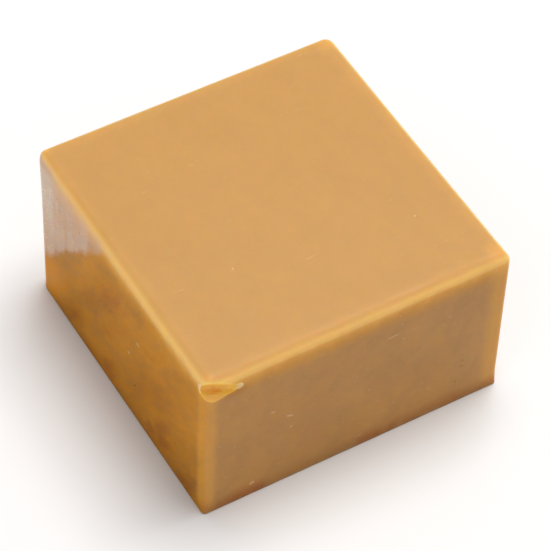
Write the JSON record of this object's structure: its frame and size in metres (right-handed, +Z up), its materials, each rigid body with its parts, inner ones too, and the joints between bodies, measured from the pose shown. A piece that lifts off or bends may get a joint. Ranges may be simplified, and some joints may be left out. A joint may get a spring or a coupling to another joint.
{
  "type": "rosin cake",
  "caption": "Square block of amber rosin with rounded upper and upright edges, a flat base and a small chip at one upper corner.",
  "frame": {"origin": "middle of the flat face the block rests on", "axes": "+Z up out of the rubbing face, +X along the width and +Y along the depth of the block, so front is -Y and left is -X; the chipped corner is at -X, -Y, +Z"},
  "size_m": [0.042, 0.0426, 0.0246],
  "materials": {
    "rosin": "cloudy honey-amber cast rosin, waxy satin on the rubbing face and glossier on the sides"
  },
  "bodies": {
    "root": {"rosin_block": "rosin"}
  },
  "joints": []
}
